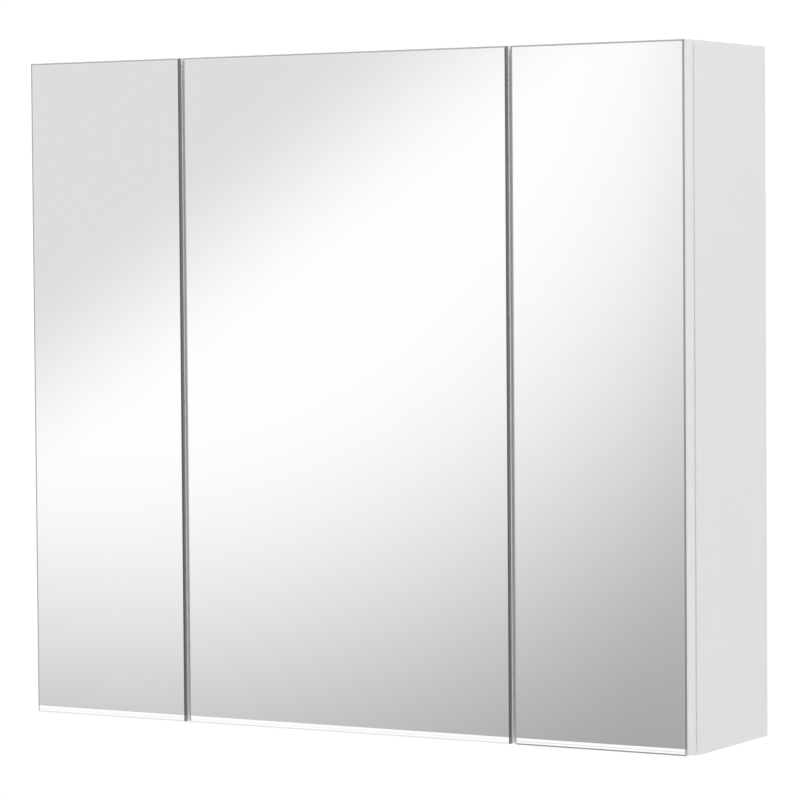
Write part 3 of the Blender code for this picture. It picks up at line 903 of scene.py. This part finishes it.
def ramp(finish, value, stops):
    """Colour ramp over 0 to 1; stops are (place, grey)."""
    node = finish.tree.nodes.new("ShaderNodeValToRGB")
    elements = node.color_ramp.elements
    while len(elements) < len(stops):
        elements.new(0.5)
    for element, (place, grey) in zip(elements, stops):
        element.position = place
        element.color = (grey, grey, grey, 1.0)
    finish.feed(node.inputs[0], value)
    return Wire(finish, node.outputs[0])


def smooth_step(value, start, end):
    """Goes from 0 at start to 1 at end, slow at both ends."""
    share = ((value - start) / (end - start)).clamped()
    return share * share * (3.0 - share * 2.0)


def pool_and_slant(paint, x, z):
    """A round pool of light high on the left, dimmed by a shade that falls across it aslant."""
    across = x - POOL_X
    up = z - POOL_Z
    from_pool = paint.sum("POWER", across * across * 0.72 + up * up, 0.5)
    pool = 1.0 - smooth_step(from_pool, POOL_NEAR, POOL_FAR) * POOL_LOSS
    shade = SHADE_DARK + smooth_step(x * 0.55 - z * 0.84, SHADE_FROM, SHADE_TO) * SHADE_GAIN
    return pool * shade


def front_wall(paint, x, z):
    """The pool on the left, a plain slanting glow on the right, and white towards the borders."""
    slant = ((x * 0.5 + z + 1.4) / 3.2).clamped()
    plain = ramp(paint, slant, ((0.0, 0.55), (0.3, 0.62), (0.6, 0.95), (0.8, 1.0), (1.0, 0.85)))
    left = pool_and_slant(paint, x, z)
    wall = left + (plain - left) * ((x - PLAIN_FROM) / PLAIN_FADE).clamped()
    from_border = (WALL_HALF - abs(x)).at_most(WALL_TOP - z)
    return 1.0 + (wall - 1.0) * (from_border / WALL_FADE).clamped()


def side_shade(paint, x, z):
    share = ((z + 1.2) / 2.4).clamped()
    return ramp(paint, share, ((0.0, 0.62), (0.4, 0.5), (0.75, 0.66), (1.0, 0.85)))


def top_shade(paint, x, z):
    share = ((x + 1.0) / 2.0).clamped()
    return ramp(paint, share, ((0.0, 0.5), (1.0, 0.42)))


def flat(name, size, place, turn, paint, shades_boards=True):
    """A painted board out of the camera's sight; shades_boards lets it dim what isn't a mirror."""
    board = fresh(bpy.ops.mesh.primitive_grid_add, name, x_subdivisions=8, y_subdivisions=8, size=1.0)
    board.scale = (*size, 1.0)
    board.rotation_euler = turn
    board.location = place
    bake_place(board)
    board.data.materials.append(paint.material)
    board.visible_camera = False
    board.visible_diffuse = shades_boards
    board.visible_shadow = False
    return board


QUARTER = math.pi / 2
flat(
    "front_flat",
    size=(WALL_HALF * 2, WALL_TOP - WALL_FOOT),
    place=(0.0, -3.0, (WALL_TOP + WALL_FOOT) / 2),
    turn=(QUARTER, 0, 0),
    paint=glowing("flat_glow", front_wall),
    shades_boards=False,
)
flat(
    "side_flat",
    size=(3.0, 3.0),
    place=(1.9, -0.2, -0.3),
    turn=(QUARTER, 0, QUARTER),
    paint=glowing("flat_side", side_shade),
)
flat(
    "top_flat",
    size=(2.4, 1.8),
    place=(0.0, 0.5, 1.3),
    turn=(0, 0, 0),
    paint=glowing("flat_top", top_shade),
)


def pale_floor():
    paint = Finish("pale_floor", {"Roughness": 0.8})
    point = paint.point()
    cloud = paint.noise(point, 1.5, detail=3.0)
    paint.set("Base Color", paint.blend(cloud, (0.965, 0.965, 0.965), (0.985, 0.985, 0.985)))
    return paint


FLOOR_DROP = 0.9
floor = fresh(bpy.ops.mesh.primitive_grid_add, "floor", x_subdivisions=4, y_subdivisions=4, size=60.0)
floor.location = (0, 0, case_bottom - FLOOR_DROP)
bake_place(floor)
floor.data.materials.append(pale_floor().material)


# %% [markdown]
# ## Light and camera
#
# The white world gives even light from everywhere. Two soft panels add a little direction: one high
# on the left, and a smaller, lower one on the right. The camera stands a good way off with a long
# lens, a little to the right, so that the upright edges stay nearly parallel.

# %% World, lights and camera
world = bpy.data.worlds.new("white_room")
bpy.context.scene.world = world
world.use_nodes = True
sky = world.node_tree.nodes["Background"]
sky.inputs["Color"].default_value = (1.0, 1.0, 1.0, 1.0)
sky.inputs["Strength"].default_value = 1.04


def soft_panel(name, place, aim, size, power):
    light = bpy.data.lights.new(name, "AREA")
    light.shape = "SQUARE"
    light.size = size
    light.energy = power
    holder = bpy.data.objects.new(name, light)
    holder.location = place
    holder.rotation_euler = (Vector(aim) - Vector(place)).to_track_quat("-Z", "Y").to_euler()
    bpy.context.scene.collection.objects.link(holder)
    return holder


middle = (solids_low + solids_high) / 2
soft_panel("key_panel", place=(-1.8, -2.2, 1.9), aim=middle, size=1.6, power=14.0)
soft_panel("fill_panel", place=(1.6, -1.5, 1.2), aim=middle, size=0.9, power=10.0)

CAMERA_PLACE = (1.994, -3.521, -0.138)
CAMERA_YAW = math.radians(30.04)
CAMERA_PITCH = math.radians(-2.41)
CAMERA_ROLL = math.radians(-0.44)
LENS = 165.9

camera_data = bpy.data.cameras.new("camera")
camera_data.lens = LENS
camera_data.sensor_width = 36.0
camera = bpy.data.objects.new("camera", camera_data)
aim = Matrix.Rotation(CAMERA_YAW, 4, "Z") @ Matrix.Rotation(QUARTER + CAMERA_PITCH, 4, "X")
camera.matrix_world = Matrix.Translation(CAMERA_PLACE) @ aim @ Matrix.Rotation(CAMERA_ROLL, 4, "Z")
bpy.context.scene.collection.objects.link(camera)
bpy.context.scene.camera = camera
bpy.context.scene.view_settings.view_transform = "Standard"
